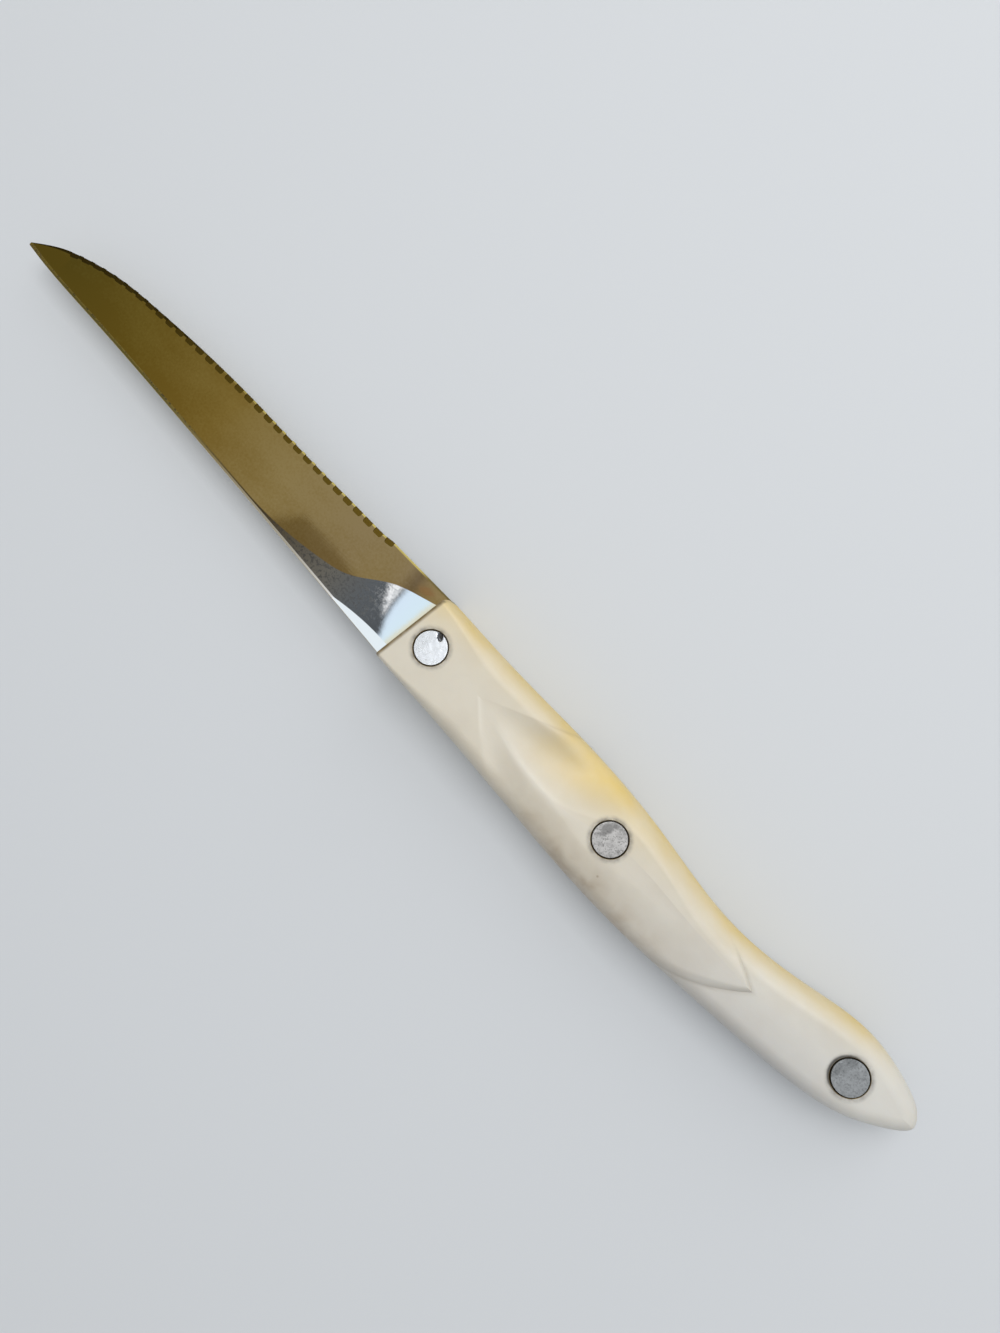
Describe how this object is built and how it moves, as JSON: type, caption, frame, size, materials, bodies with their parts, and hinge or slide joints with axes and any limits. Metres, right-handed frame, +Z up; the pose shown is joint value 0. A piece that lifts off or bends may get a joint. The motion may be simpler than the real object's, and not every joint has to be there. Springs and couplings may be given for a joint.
{
  "type": "trimming knife",
  "caption": "Slim trimming knife with a plunge-ground, finely serrated blade, a hidden tang and a contoured grip of riveted resin halves.",
  "frame": {"origin": "on the surface that the knife lies on, under the middle of its box", "axes": "+X from the tip to the butt, +Y from the spine to the cutting edge, +Z up out of the blade's right face"},
  "size_m": [0.2446, 0.0228, 0.014],
  "materials": {
    "blade_steel": "mirror-polished stainless steel with fine scratches",
    "handle_resin": "satin moulded resin, ivory, aged",
    "rivet_metal": "ground flush, dull nickel silver"
  },
  "bodies": {
    "root": {"blade": "blade_steel", "right_handle_half": "handle_resin", "left_handle_half": "handle_resin", "front_rivet_male": "rivet_metal", "front_rivet_female": "rivet_metal", "middle_rivet_male": "rivet_metal", "middle_rivet_female": "rivet_metal", "rear_rivet_male": "rivet_metal", "rear_rivet_female": "rivet_metal"}
  },
  "joints": []
}
